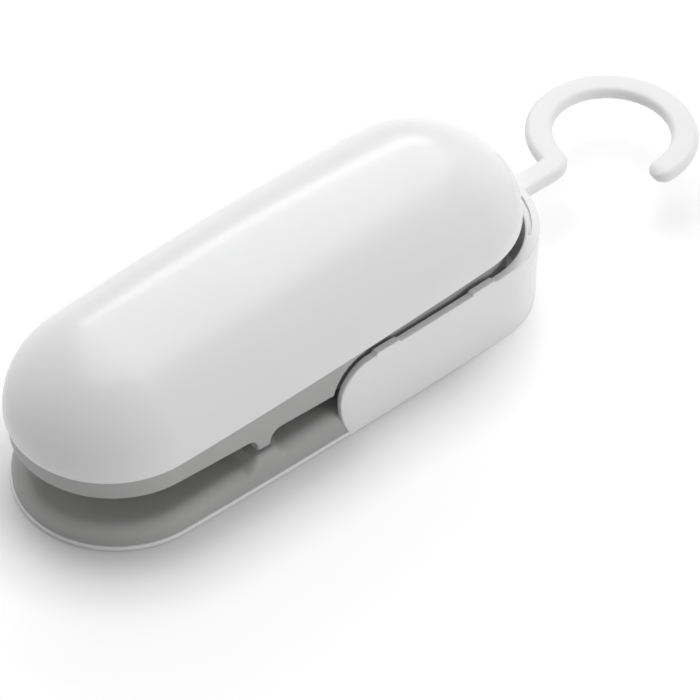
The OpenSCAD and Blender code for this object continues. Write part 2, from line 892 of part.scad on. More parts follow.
// What hangs below the tray: ridge, ears, switch brackets and the spring's upper spigot
module tray_under() {
    intersection() {
        across(body_w)
            ridge_side();
        linear_extrude(reach)
            cover_outline(band_inset);
    }
    both_sides(ear_y, ear_t) {
        translate([pivot_x, pivot_z])
            circle(ear_r);
        translate([pivot_x - ear_r, pivot_z])
            square([2 * ear_r, face_z + tray_floor / 2 - pivot_z]);
    }
    both_sides(switch_w / 2 + fix_fit, bracket_t)
        translate([switch_x - switch_l / 2, face_z - bracket_h])
            square([switch_l, bracket_h + tray_floor / 2]);
    translate([coil_x, 0, face_z - coil_spigot])
        cylinder(d = coil_d - coil_wire - 2 * side_fit, h = coil_spigot + tray_floor / 2);
}

// Places of the two switch terminals and of the two switch pins, along X
term_x = [switch_x - term_span / 2, switch_x + term_span / 2];
switch_pin_x = [switch_x - switch_pin_span / 2, switch_x + switch_pin_span / 2];

module switch_pin_holes(d, l) {
    for (x = switch_pin_x)
        translate([x, 0, face_z - switch_pin_drop])
            rotate([90, 0, 0])
                cylinder(d = d, h = l, center = true);
}

// Ribbon seen along X, grown by a gap: a flat run under the core and two upright ends
module ribbon_side(gap) {
    outer = core_l / 2 + ribbon_t + gap;
    inner = core_l / 2 - gap;
    flat_z = film_z + film_t - gap;
    difference() {
        translate([-outer, flat_z])
            square([2 * outer, tray_z + leg_up - flat_z]);
        translate([-inner, flat_z + ribbon_t + 2 * gap])
            square([2 * inner, reach]);
    }
}

module ribbon_solid(w, gap) {
    translate([ridge_x - w / 2 - gap, 0, 0])
        rotate([90, 0, 90])
            linear_extrude(w + 2 * gap)
                ribbon_side(gap);
}

// Height of the bottom of the heater's core
core_z = film_z + film_t + ribbon_t;
lead_y = body_w / 2 - well_inset - lead_d / 2 - lead_gap;

module upper_jaw() {
    color(grey)
        opened()
            difference() {
                union() {
                    jaw_tray();
                    tray_inside();
                    tray_under();
                }
                translate([pivot_x, 0, pivot_z])
                    rotate([90, 0, 0])
                        cylinder(d = pin_d + 2 * run_fit, h = body_w, center = true);
                translate([ridge_x - core_w / 2 - fix_fit, -core_l / 2 - fix_fit, tip_z - ridge_h])
                    cube([core_w + 2 * fix_fit, core_l + 2 * fix_fit,
                          core_z + core_h + fix_fit - tip_z + ridge_h]);
                ribbon_solid(core_w, fix_fit);
                switch_pin_holes(switch_pin_d + 2 * fix_fit, body_w);
                for (x = term_x)
                    translate([x - term_w / 2 - fix_fit, -term_t / 2 - fix_fit, face_z - tray_floor])
                        cube([term_w + 2 * fix_fit, term_t + 2 * fix_fit, 3 * tray_floor]);
                translate([term_x[0] - channel_w / 2, -body_w / 2 + well_inset, tray_z - channel_h])
                    cube([channel_w, body_w / 2 - well_inset, 2 * channel_h]);
            }
}

module heater_core() {
    color([0.93, 0.9, 0.82])
        opened()
            translate([ridge_x - core_w / 2, -core_l / 2, core_z])
                cube([core_w, core_l, core_h]);
}

module heater_ribbon() {
    color([0.6, 0.58, 0.55])
        opened()
            ribbon_solid(ribbon_w, 0);
}

module heater_tape() {
    color([0.72, 0.55, 0.36])
        opened()
            translate([ridge_x - ridge_tip / 2, -film_l / 2, film_z])
                cube([ridge_tip, film_l, film_t]);
}

module heater_terminals() {
    color(steel)
        opened()
            difference() {
                for (s = [-1, 1])
                    translate([ridge_x, s * (core_l + ribbon_t) / 2, tray_z + fix_fit + crimp_h / 2])
                        cube([crimp_w, crimp_t, crimp_h], center = true);
                ribbon_solid(ribbon_w, fix_fit);
            }
}

// One cell along X; its button points to +X for dir = 1
module cell(y, dir) {
    face = dir * (bay_l / 2 - contact_t);
    opened()
        translate([face, y, cell_z])
            rotate([0, -90 * dir, 0]) {
                cylinder(d = nub_d, h = nub_h + cell_l / 2);
                translate([0, 0, nub_h])
                    cylinder(d = cell_d, h = cell_l - nub_h);
            }
}

module cell_right() {
    color([0.28, 0.3, 0.33])
        cell(-cell_y, 1);
}

module cell_left() {
    color([0.28, 0.3, 0.33])
        cell(cell_y, -1);
}

// Contact plate seen along X, about the middle of its cell
module plate_face(y) {
    translate([y - contact_s / 2, cell_z - contact_s / 2])
        square(contact_s);
}

module plate_at(x) {
    opened()
        translate([x, 0, 0])
            rotate([90, 0, 90])
                linear_extrude(contact_t)
                    children();
}

module series_link() {
    color(steel)
        plate_at(-bay_l / 2) {
            plate_face(cell_y);
            plate_face(-cell_y);
            translate([-cell_y, cell_z - contact_s / 4])
                square([2 * cell_y, contact_s / 2]);
        }
}

// Tail of a rear contact plate, from its plate down to its lead
module plate_tail(y) {
    translate([y - tail_w / 2, tray_z + fix_fit])
        square([tail_w, cell_z - tray_z - fix_fit]);
}

// The supply lead starts between the cells
supply_y = -(cell_y - contact_s / 2);

module positive_contact() {
    color(steel)
        plate_at(bay_l / 2 - contact_t) {
            plate_face(-cell_y);
            plate_tail(supply_y);
        }
}

module negative_contact() {
    tail_y = lead_y - tail_w / 4;
    color(steel)
        plate_at(bay_l / 2 - contact_t) {
            plate_face(cell_y);
            plate_tail(tail_y);
            translate([cell_y, cell_z - tail_w])
                square([tail_y - cell_y, tail_w]);
        }
}

// A cell spring from its contact plate towards the cell, dir = 1 towards +X
module cell_spring(y, dir) {
    color(steel)
        opened()
            translate([-dir * (bay_l / 2 - contact_t - cell_wire / 2), y, cell_z])
                rotate([0, 90 * dir, 0])
                    wire(cell_path, cell_wire, wire_sides_n, [0, 0, 1]);
}

module cell_spring_front() {
    echo(cell_spring_space = coil_space(cell_path, cell_wire));
    cell_spring(-cell_y, 1);
}

module cell_spring_rear() {
    cell_spring(cell_y, -1);
}

module micro_switch() {
    color([0.1, 0.1, 0.11])
        opened()
            difference() {
                translate([switch_x - switch_l / 2, -switch_w / 2, switch_z])
                    cube([switch_l, switch_w, switch_h]);
                translate([plunger_x, 0, switch_z - plunger_hole])
                    cylinder(d = plunger_d + 2 * run_fit, h = 2 * plunger_hole);
                switch_pin_holes(switch_pin_d + 2 * fix_fit, body_w);
            }
}

module switch_terminals() {
    color([0.75, 0.65, 0.4])
        opened()
            for (x = term_x)
                translate([x - term_w / 2, -term_t / 2, face_z])
                    cube([term_w, term_t, tray_floor + term_up]);
}

module switch_pins() {
    color(steel)
        opened()
            switch_pin_holes(switch_pin_d, switch_w + 2 * (bracket_t + fix_fit));
}

// The plunger rests on its post; the open jaw carries it that much lower in the switch
module switch_plunger() {
    color([0.75, 0.12, 0.1])
        opened()
            translate([plunger_x, 0, striker_z + 2 * run_fit - plunger_out])
                cylinder(d = plunger_d, h = plunger_l);
}

// Path with round bends through a row of corners; a bend takes up to lead_bend on each side
bend_steps = 4;
function bend_points(a, b, c) = [
    for (i = [0 : bend_steps])
        let (
            f = i / bend_steps,
            p = b + unit(a - b) * min(lead_bend, norm(a - b) / 2),
            q = b + unit(c - b) * min(lead_bend, norm(c - b) / 2)
        )
            p * pow(1 - f, 2) + b * 2 * f * (1 - f) + q * pow(f, 2)
];
function rounded_path(pts) = concat(
    [pts[0]],
    [for (i = [1 : len(pts) - 2]) each bend_points(pts[i - 1], pts[i], pts[i + 1])],
    [pts[len(pts) - 1]]
);

lead_sides = 8;
lead_mid = tray_z + lead_z;
bay_face = bay_l / 2 - contact_t - fix_fit;
crimp_y = (core_l + ribbon_t) / 2;
crimp_face = ridge_x + crimp_w / 2 + fix_fit;
crimp_mid = tray_z + crimp_h / 2;

module lead(pts) {
    opened()
        wire(rounded_path(pts), lead_d, lead_sides, [0.3, 0.2, 1]);
}

// Cells to switch, in the trough between the cells
module lead_supply() {
    end_x = term_x[1] + term_w / 2 + fix_fit;
    color([0.7, 0.1, 0.08])
        lead([
            [bay_face, supply_y, lead_mid],
            [bay_face - 2 * lead_bend, supply_y, lead_mid],
            [end_x + 2 * lead_bend, 0, lead_mid],
            [end_x, 0, lead_mid]
        ]);
}

// Switch to heater, under a cell in its channel and on along the tray's wall
module lead_switched() {
    low = tray_z - channel_h + fix_fit + lead_d / 2;
    color([0.7, 0.1, 0.08])
        lead([
            [term_x[0], -term_t / 2 - fix_fit, low],
            [term_x[0], 2 * lead_bend - lead_y, low],
            [term_x[0], -lead_y, lead_mid],
            [crimp_face + 4 * lead_bend, -lead_y, lead_mid],
            [crimp_face + 2 * lead_bend, -crimp_y, crimp_mid],
            [crimp_face, -crimp_y, crimp_mid]
        ]);
}

// Heater back to the cells, along the tray's other wall
module lead_return() {
    color([0.08, 0.08, 0.09])
        lead([
            [bay_face, lead_y, lead_mid],
            [crimp_face + 4 * lead_bend, lead_y, lead_mid],
            [crimp_face + 2 * lead_bend, crimp_y, crimp_mid],
            [crimp_face, crimp_y, crimp_mid]
        ]);
}

// Points around an outline of length l, set in by inset, from the rear end's near side on
end_steps = 18;
long_steps = 14;
ring_n = 2 * (end_steps + long_steps);
function outline_point(l, inset, k) =
    let (
        mid = l / 2 - end_r,
        half = ring_n / 2,
        j = k % half,
        flip = k < half ? 1 : -1,
        on_end = j <= end_steps,
        a = 180 * j / end_steps - 90,
        x = mid * (1 - 2 * (j - end_steps) / long_steps),
        r = end_r - inset,
        p = on_end ? [mid + r * cos(a), r * sin(a)] : [x, half_width(l, x) - inset]
    )
        flip * p;

// One ring of the cover's skin: t goes from 0 at the edge to 90 on the spine
function skin_ring(inset, t) = [
    for (k = [0 : ring_n - 1])
        let (
            p = outline_point(cover_l, inset, k),
            mid = cover_l / 2 - end_r,
            s = max(-mid, min(mid, p[0])),
            f = pow(cos(t), 2 / side_power),
            x = s + (p[0] - s) * f,
            rise = pow(sin(t), 2 / top_power),
            h = cover_h + cover_crown * (1 - pow(2 * (x - crown_back) / cover_l, 2)) - inset
        )
            [cover_x + x, p[1] * f, h * rise]
];
skin_steps = [0, 6, 12, 19, 27, 36, 45, 54, 63, 72, 80, 86];
skin_rings = len(skin_steps);

// Faces of a skin whose first point is number at; out = 1 faces outwards
function facing(f, out) = out > 0 ? f : [f[2], f[1], f[0]];
function skin_sides(at, out) = [
    for (i = [0 : skin_rings - 2], k = [0 : ring_n - 1])
        let (a = at + i * ring_n + k, b = at + i * ring_n + (k + 1) % ring_n)
            each [facing([a, a + ring_n, b], out), facing([b, a + ring_n, b + ring_n], out)]
];
// The top strip joins each point to the one across the spine
function skin_top(at, out) = [
    for (i = [0 : ring_n / 2 - 1])
        let (
            z = at + (skin_rings - 1) * ring_n,
            a = (end_steps / 2 + i) % ring_n,
            b = (end_steps / 2 + i + 1) % ring_n,
            a2 = (end_steps + ring_n - a) % ring_n,
            b2 = (end_steps + ring_n - b) % ring_n
        )
            each concat(
                b == b2 ? [] : [facing([z + a, z + b2, z + b], out)],
                a == a2 ? [] : [facing([z + a, z + a2, z + b2], out)]
            )
];
function skin_edge(inner) = [
    for (k = [0 : ring_n - 1])
        let (b = (k + 1) % ring_n)
            each [[k, b, inner + k], [b, inner + b, inner + k]]
];

module top_cover() {
    inner = skin_rings * ring_n;
    points = concat(
        [for (t = skin_steps) each skin_ring(0, t)],
        [for (t = skin_steps) each skin_ring(cover_wall, t)]
    );
    faces = concat(
        skin_sides(0, 1),
        skin_top(0, 1),
        skin_sides(inner, -1),
        skin_top(inner, -1),
        skin_edge(inner)
    );
    color(white)
        opened()
            on_cover()
                polyhedron(points, faces);
}

// Path of the hook's bar: a straight shank, one bend, most of a ring and the rounded free end
bend_parts = 8;
ring_parts = 44;
tip_turns = [25, 48, 67, 80, 87];
bar_corner = 4;
ring_start = 180 - bend_turn;
function on_ring(a) = [ring_x + ring_r * cos(a), ring_r * sin(a), 0];
hook_path = concat(
    [[shank_x, 0, 0]],
    [
        for (i = [0 : bend_parts - 1])
            let (h = (90 - bend_turn) * i / bend_parts)
                [bend_x + bend_r * sin(h), bend_r * (1 - cos(h)), 0]
    ],
    [for (i = [0 : ring_parts]) on_ring(ring_start + (tip_angle - ring_start) * i / ring_parts)],
    [for (t = tip_turns) on_ring(tip_angle - bar_w / 2 * sin(t) / ring_r * 180 / PI)]
);
hook_sizes = concat(
    [for (i = [0 : bend_parts + ring_parts + 1]) 1],
    [for (t = tip_turns) cos(t)]
);

// Flat hook on a round stem, which has a groove for its clip
module hook() {
    color(white)
        translate([0, 0, hook_z]) {
            translate([clip_x - stem_end, 0, 0])
                rotate([0, 90, 0])
                    difference() {
                        cylinder(d = stem_d, h = bend_x - clip_x + stem_end);
                        translate([0, 0, stem_end])
                            difference() {
                                cylinder(d = 2 * stem_d, h = clip_t);
                                translate([0, 0, -clip_t])
                                    cylinder(d = stem_d - 2 * groove_h, h = 3 * clip_t);
                            }
                    }
            sweep(hook_path, oblong_section(bar_w, bar_t, bar_round, bar_corner), [0, 0, 1], hook_sizes);
        }
}

module hook_clip() {
    bite = stem_d - 2 * groove_h + 2 * fix_fit;
    color(steel)
        translate([clip_x + fix_fit, 0, hook_z])
            rotate([0, 90, 0])
                linear_extrude(clip_t - 2 * fix_fit)
                    difference() {
                        circle(d = clip_d);
                        circle(d = bite);
                        translate([0, -bite / 2 + fix_fit])
                            square([clip_d, bite - 2 * fix_fit]);
                    }
}

base_shell();
lower_jaw();
seal_pad();
base_screws();
hinge_pin();
return_spring();
upper_jaw();
heater_core();
heater_ribbon();
heater_tape();
heater_terminals();
cell_right();
cell_left();
series_link();
positive_contact();
negative_contact();
cell_spring_front();
cell_spring_rear();
micro_switch();
switch_terminals();
switch_pins();
lead_supply();
lead_switched();
lead_return();
top_cover();
switch_plunger();
hook();
hook_clip();
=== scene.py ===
import math

import bmesh
import bpy
import numpy as np
from mathutils import Matrix, Vector
from mathutils.geometry import delaunay_2d_cdt


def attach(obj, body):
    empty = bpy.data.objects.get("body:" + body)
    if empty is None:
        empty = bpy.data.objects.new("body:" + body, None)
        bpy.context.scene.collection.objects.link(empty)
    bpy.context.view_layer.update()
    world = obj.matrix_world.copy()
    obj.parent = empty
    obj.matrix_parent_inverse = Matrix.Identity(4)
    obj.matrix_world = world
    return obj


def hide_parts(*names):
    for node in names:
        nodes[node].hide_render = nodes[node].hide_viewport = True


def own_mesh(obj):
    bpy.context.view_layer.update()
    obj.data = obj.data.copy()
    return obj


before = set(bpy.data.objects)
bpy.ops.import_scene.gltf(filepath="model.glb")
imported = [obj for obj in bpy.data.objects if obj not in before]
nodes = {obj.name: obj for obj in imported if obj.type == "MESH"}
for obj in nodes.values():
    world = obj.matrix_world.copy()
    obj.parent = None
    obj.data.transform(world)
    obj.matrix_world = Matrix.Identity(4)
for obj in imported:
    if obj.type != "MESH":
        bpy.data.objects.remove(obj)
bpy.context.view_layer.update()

# Sizes in millimetres, as in the CAD source; meshes are made in millimetres and scaled once
MM = 0.001
BODY_W, BODY_L, END_R, BULGE = 38.9, 111.6, 19.0, 0.45
BASE_REAR = BODY_L / 2
LIP_H, RIM_H, WALL, REAR_WALL = 1.1, 15.8, 1.5, 3.2
CHEEK_X, CHEEK_TOP_R, CHEEK_LOW_R = BASE_REAR - 58.6, 6.8, 16.5
NOSE_Z = RIM_H - CHEEK_TOP_R
LANDS = (BASE_REAR - 47.6, BASE_REAR - 24.6)
LAND_L, LAND_H = 5.4, 0.5
SEAM_IN, SEAM_W, SEAM_H, SEAM_X = 1.45, 0.45, 0.7, BASE_REAR - 7.3
PIVOT_X, PIVOT_Z, TILT = 38.0, 6.2, 2.0
FACE_Z, PART_H, PART_ANGLE = 9.45, 10.45, 4.06
BAND_IN, BAND_DRAFT, BAND_T, BAND_EDGE_R, BAND_END_X, CHEEK_GAP = 0.62, 0.42, 1.0, 0.36, 2.6, 0.7
RIDGE_X, RIDGE_H, RIDGE_TIP, RIDGE_FILLET = -19.3, 2.9, 2.8, 2.4
COVER_FRONT, COVER_REAR = -BASE_REAR - 0.5, BASE_REAR - REAR_WALL - 1.4
COVER_L = COVER_REAR - COVER_FRONT
COVER_X = (COVER_FRONT + COVER_REAR) / 2 - (FACE_Z + PART_H - PIVOT_Z) * math.sin(math.radians(TILT))
COVER_H, COVER_CROWN, CROWN_BACK, COVER_WALL, COVER_EDGE_R = 14.1, 3.2, 4.0, 1.6, 0.55
SIDE_POWER, TOP_POWER = 2.07, 2.38
LOWER_IN, LOWER_Z, LOWER_SLOPE, LOWER_END = 0.3, 5.85, 1.75, CHEEK_X + 5.4
ANVIL_W, ANVIL_FLOW, ANVIL_TOP, ANVIL_STOP, STOP_Y = 4.0, 2.6, 7.37, 7.67, 15.1
HOOK_Z, RING_X, RING_R, BAR_W, BAR_T, BAR_ROUND = 11.9, BASE_REAR + 26.2, 13.8, 5.2, 2.7, 1.2
BEND_R, TIP_ANGLE, STEM_D, STEM_X, STEM_ROOT, BOSS_R = 3.0, -91.0, 2.4, 50.55, 0.35, 3.6
# Height over which the base's faces belong to its walls, how far its floor is kept in from the edge,
# and how far the tray is kept in from the band
FLOOR_TOP, FLOOR_IN, TRAY_IN = 1.7, 0.8, 1.45
# Points around the cover and around the hook's stem
COVER_N, STEM_N = 180, 32

# The ground, in metres: half its side, its height just under the base, where its far glow starts and is full,
# and how strong that is
FLOOR_HALF, FLOOR_Z, FAR_GROUND, FAR_GLOW = 6.0, -0.00005, (0.3, 1.2), 0.5
# The ground's glow near the body, held low close to it as a painted shadow: how far it takes to level out, in
# millimetres, and its levels on the way
PAINTED_SHADOW_REACH = 26
PAINTED_SHADOW_LEVELS = ((0.0, 0.03), (0.12, 0.13), (0.3, 0.25), (0.6, 0.36), (1.0, 0.33))


def turn(angle, x, z):
    """Turn about an axis along Y through (x, z)."""
    about = Matrix.Translation((x, 0, z))
    return about @ Matrix.Rotation(math.radians(angle), 4, "Y") @ about.inverted()


OPENED = turn(TILT, PIVOT_X, PIVOT_Z)
ON_COVER = (
    Matrix.Translation((PIVOT_X, 0, FACE_Z + PART_H))
    @ Matrix.Rotation(math.radians(-PART_ANGLE), 4, "Y")
    @ Matrix.Translation((-PIVOT_X, 0, 0))
)


class Outline:
    """The body's outline in plan, by its length along the edge.

    0 is the middle of the front, and the near side, the rear and the far side follow.
    """

    def __init__(self, length, x=0.0):
        self.x, self.mid = x, length / 2 - END_R
        points, normals = [], []

        def round_end(x, a0, a1):
            for a in np.radians(np.linspace(a0, a1, 40)):
                n = np.array((math.cos(a), math.sin(a)))
                points.append(np.array((x, 0.0)) + END_R * n)
                normals.append(n)

        round_end(-self.mid, 180, 270)
        for t in np.linspace(-self.mid, self.mid, 60)[1:-1]:
            slope = 2 * BULGE * t / self.mid ** 2
            points.append(np.array((t, -self.half_width(t))))
            normals.append(np.array((slope, -1.0)) / math.hypot(slope, 1))
        round_end(self.mid, 270, 360)
        self.near = len(points)
        flip = np.array((1, -1))
        points += [p * flip for p in points[-2:0:-1]] + [points[0]]
        normals += [n * flip for n in normals[-2:0:-1]] + [normals[0]]
        self.points = np.array(points) + (x, 0)
        self.normals = np.array(normals)
        steps = np.linalg.norm(np.diff(self.points, axis=0), axis=1)
        self.at_len = np.concatenate(([0], np.cumsum(steps)))
        self.length = self.at_len[-1]

    def half_width(self, t):
        return BODY_W / 2 - BULGE * (t / self.mid) ** 2

    def at(self, s, inset=0.0):
        """Point at edge length s, set in from the edge."""
        s = s % self.length
        p = [np.interp(s, self.at_len, self.points[:, i]) for i in (0, 1)]
        n = [np.interp(s, self.at_len, self.normals[:, i]) for i in (0, 1)]
        return np.array(p) - inset * np.array(n) / math.hypot(*n)

    def edge(self, x):
        """Edge length at x on the near side."""
        return float(np.interp(x, self.points[: self.near, 0], self.at_len[: self.near]))

    def inset(self, p):
        """How far a point lies inside the outline, and the direction outwards there."""
        x, y = p[0] - self.x, p[1]
        if abs(x) > self.mid:
            d = np.array((x - math.copysign(self.mid, x), y))
            r = math.hypot(*d)
            return END_R - r, d / max(r, 1e-9)
        return self.half_width(x) - abs(y), np.array((0, math.copysign(1, y)))


BASE = Outline(BODY_L)
COVER = Outline(COVER_L, COVER_X)


# Materials

def mat_nodes(name):
    m = bpy.data.materials.new(name)
    m.use_nodes = True
    t = m.node_tree
    return m, t, t.nodes["Principled BSDF"]


def link(t, a, out, b, into):
    t.links.new(a.outputs[out], b.inputs[into])


def noise(t, scale, detail=3.0, rough=0.6, stretch=(1, 1, 1)):
    """Noise in the part's own space, in features per metre."""
    coord = t.nodes.new("ShaderNodeTexCoord")
    mapping = t.nodes.new("ShaderNodeMapping")
    mapping.inputs["Scale"].default_value = stretch
    n = t.nodes.new("ShaderNodeTexNoise")
    n.inputs["Scale"].default_value = scale
    n.inputs["Detail"].default_value = detail
    n.inputs["Roughness"].default_value = rough
    link(t, coord, "Object", mapping, "Vector")
    link(t, mapping, "Vector", n, "Vector")
    return n


def ramp(t, source, stops):
    r = t.nodes.new("ShaderNodeValToRGB")
    while len(r.color_ramp.elements) < len(stops):
        r.color_ramp.elements.new(0.5)
    for e, (pos, col) in zip(r.color_ramp.elements, stops):
        e.position = pos
        e.color = (*col, 1) if len(col) == 3 else col
    link(t, source, 0, r, "Fac")
    return r


def grey3(v):
    return (v, v, v)


def shade(col, f):
    return tuple(min(1.0, c * f) for c in col)


def finish_surface(t, b, col, spread, rough, rough_spread, cloud, grain, bump, height, stretch=(1, 1, 1)):
    """Colour that drifts a little, roughness that drifts with it and a fine grain as bump."""
    soft = noise(t, cloud, 4)
    tone = ramp(t, soft, [(0.3, shade(col, 1 - spread)), (0.7, shade(col, 1 + spread))])
    link(t, tone, "Color", b, "Base Color")
    fine = noise(t, grain, 2, 0.7, stretch)
    gloss = ramp(t, fine, [(0.25, grey3(rough - rough_spread)), (0.75, grey3(rough + rough_spread))])
    link(t, gloss, "Color", b, "Roughness")
    lump = t.nodes.new("ShaderNodeBump")
    lump.inputs["Strength"].default_value = bump
    lump.inputs["Distance"].default_value = height
    link(t, fine, 0, lump, "Height")
    link(t, lump, "Normal", b, "Normal")


def plastic(name, col, rough, grain=2600, bump=0.12, spread=0.012, gloss=0.05):
    m, t, b = mat_nodes(name)
    finish_surface(t, b, col, spread, rough, gloss, 60, grain, bump, 0.00003)
    return m


def metal(name, col, rough, stretch=(1, 1, 1), grain=1500):
    m, t, b = mat_nodes(name)
    b.inputs["Metallic"].default_value = 1.0
    finish_surface(t, b, col, 0.05, rough, 0.08, 300, grain, 0.08, 0.00002, stretch)
    return m


def woven(name, col, pitch, rough):
    """Fine square weave under a clear coating."""
    m, t, b = mat_nodes(name)
    coord = t.nodes.new("ShaderNodeTexCoord")
    waves = []
    for axis in ("X", "Y"):
        w = t.nodes.new("ShaderNodeTexWave")
        w.bands_direction = axis
        w.inputs["Scale"].default_value = 1 / pitch / math.tau * 2
        w.inputs["Distortion"].default_value = 0.4
        link(t, coord, "Object", w, "Vector")
        waves.append(w)
    both = t.nodes.new("ShaderNodeMath")
    both.operation = "MULTIPLY"
    link(t, waves[0], "Fac", both, 0)
    link(t, waves[1], "Fac", both, 1)
    tone = ramp(t, both, [(0.1, shade(col, 0.8)), (0.8, shade(col, 1.15))])
    link(t, tone, "Color", b, "Base Color")
    b.inputs["Roughness"].default_value = rough
    b.inputs["Coat Weight"].default_value = 0.3
    lump = t.nodes.new("ShaderNodeBump")
    lump.inputs["Strength"].default_value = 0.3
    lump.inputs["Distance"].default_value = 0.00004
    link(t, both, 0, lump, "Height")
    link(t, lump, "Normal", b, "Normal")
    return m


def cell_jacket(name, plus_end):
    """Printed jacket in two plain tones with bare metal ends; plus_end is the side of the button along X."""
    m, t, b = mat_nodes(name)
    coord = t.nodes.new("ShaderNodeTexCoord")
    split = t.nodes.new("ShaderNodeSeparateXYZ")
    link(t, coord, "Object", split, "Vector")
    along = t.nodes.new("ShaderNodeMapRange")
    along.inputs["From Min"].default_value = -0.0285 * plus_end
    along.inputs["From Max"].default_value = 0.0285 * plus_end
    link(t, split, "X", along, "Value")
    tone = ramp(t, along, [(0.0, (0.5, 0.5, 0.51)), (0.075, (0.035, 0.038, 0.045)), (0.7, (0.28, 0.29, 0.3)),
                           (0.93, (0.62, 0.62, 0.63))])
    tone.color_ramp.interpolation = "CONSTANT"
    bare = ramp(t, along, [(0.0, grey3(1)), (0.075, grey3(0)), (0.7, grey3(0)), (0.93, grey3(1))])
    bare.color_ramp.interpolation = "CONSTANT"
    link(t, tone, "Color", b, "Base Color")
    link(t, bare, "Color", b, "Metallic")
    fine = noise(t, 900, 3)
    gloss = ramp(t, fine, [(0.3, grey3(0.24)), (0.7, grey3(0.34))])
    link(t, gloss, "Color", b, "Roughness")
    b.inputs["Coat Weight"].default_value = 0.25
    return m


WHITE = plastic("white_satin_plastic", (0.82, 0.82, 0.828), 0.25, bump=0.03, gloss=0.02)
WHITE_HOOK = plastic("white_hook_plastic", (0.83, 0.83, 0.832), 0.42, grain=3200, bump=0.05, gloss=0.03)
GREY = plastic("grey_matt_plastic", (0.415, 0.414, 0.411), 0.52, grain=2200, bump=0.15, spread=0.025)
GREY_LOW = plastic("grey_lower_plastic", (0.4, 0.399, 0.396), 0.5, grain=2200, bump=0.15, spread=0.025)
SILICONE = plastic("grey_silicone", (0.28, 0.28, 0.28), 0.62, grain=3000, bump=0.25, spread=0.04)
CORE = plastic("cream_insulator", (0.8, 0.76, 0.66), 0.7, grain=2500, bump=0.25, spread=0.04)
BLACK = plastic("black_switch_plastic", (0.02, 0.02, 0.022), 0.48, grain=2400, bump=0.2, spread=0.08)
RED = plastic("red_plunger_plastic", (0.55, 0.05, 0.04), 0.35, spread=0.03)
LEAD_RED = plastic("red_lead_sleeve", (0.48, 0.03, 0.028), 0.42, grain=1800, spread=0.04)
LEAD_BLACK = plastic("black_lead_sleeve", (0.018, 0.018, 0.019), 0.42, grain=1800, spread=0.08)
STEEL = metal("plated_steel", (0.62, 0.63, 0.65), 0.3)
SPRING = metal("spring_steel", (0.5, 0.5, 0.52), 0.26, (1, 1, 6))
RIBBON = metal("heating_alloy", (0.46, 0.44, 0.41), 0.38, (1, 0.1, 1), 2600)
BRASS = metal("terminal_brass", (0.72, 0.56, 0.28), 0.3)
FILM = woven("nonstick_film", (0.5, 0.33, 0.17), 0.0007, 0.4)

NODE_MATERIALS = {
    "seal_pad": SILICONE, "base_screws": STEEL, "hinge_pin": STEEL, "return_spring": SPRING,
    "heater_core": CORE, "heater_ribbon": RIBBON, "heater_tape": FILM, "heater_terminals": STEEL,
    "series_link": STEEL, "positive_contact": STEEL, "negative_contact": STEEL,
    "cell_spring_front": SPRING, "cell_spring_rear": SPRING, "micro_switch": BLACK,
    "switch_terminals": BRASS, "switch_pins": STEEL, "lead_supply": LEAD_RED,
    "lead_switched": LEAD_RED, "lead_return": LEAD_BLACK, "switch_plunger": RED, "hook_clip": SPRING,
    "cell_right": cell_jacket("cell_jacket_right", 1), "cell_left": cell_jacket("cell_jacket_left", -1),
    "base_shell": WHITE, "lower_jaw": GREY_LOW, "upper_jaw": GREY, "top_cover": WHITE, "hook": WHITE_HOOK,
}
for node_name, material in NODE_MATERIALS.items():
    data = nodes[node_name].data
    data.materials.clear()
    data.materials.append(material)


# Meshes

def piece(name, verts, faces, material, body, replaced, sharp=38.0, at=None):
    """A new piece from points in millimetres, on a CAD body in place of a node; its sharp edges stay sharp."""
    mesh = bpy.data.meshes.new(name)
    m = Matrix.Scale(MM, 4) @ (at or Matrix.Identity(4))
    mesh.from_pydata([m @ Vector(v) for v in verts], [], [list(map(int, f)) for f in faces])
    bm = bmesh.new()
    bm.from_mesh(mesh)
    bmesh.ops.remove_doubles(bm, verts=bm.verts, dist=2e-6)
    bmesh.ops.dissolve_degenerate(bm, edges=bm.edges, dist=1e-7)
    bmesh.ops.recalc_face_normals(bm, faces=bm.faces)
    bm.to_mesh(mesh)
    bm.free()
    mesh.shade_smooth()
    mesh.set_sharp_from_angle(angle=math.radians(sharp))
    o = bpy.data.objects.new(name, mesh)
    bpy.context.scene.collection.objects.link(o)
    o.data.materials.append(material)
    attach(o, body)
    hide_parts(replaced)
    return o


def grid_faces(rows, cols, closed):
    """Quads between rows of points; closed joins the last column to the first."""
    out = []
    for i in range(rows - 1):
        for k in range(cols if closed else cols - 1):
            a, b = i * cols + k, i * cols + (k + 1) % cols
            out.append((a, b, b + cols, a + cols))
    return out


def offset(poly, d):
    """A closed row of points (s, z), set in by d; anticlockwise rows go inwards."""
    p = np.array(poly, float)
    e = np.roll(p, -1, axis=0) - p
    e /= np.linalg.norm(e, axis=1)[:, None]
    n = np.stack((-e[:, 1], e[:, 0]), axis=1)
    m = n + np.roll(n, 1, axis=0)
    m /= np.linalg.norm(m, axis=1)[:, None]
    c = np.maximum((m * n).sum(axis=1), 0.6)
    return p + d * m / c[:, None]


def spaced(points, step):
    """The same line with points at most step apart."""
    out = []
    for a, b in zip(points[:-1], points[1:]):
        n = max(1, math.ceil(math.dist(a, b) / step))
        out += [tuple(np.array(a) + (np.array(b) - np.array(a)) * i / n) for i in range(n)]
    return out + [points[-1]]


def inside(poly, q):
    hit = False
    for (x1, y1), (x2, y2) in zip(poly, np.roll(poly, -1, axis=0)):
        if (y1 > q[1]) != (y2 > q[1]) and q[0] < (x2 - x1) * (q[1] - y1) / (y2 - y1) + x1:
            hit = not hit
    return hit


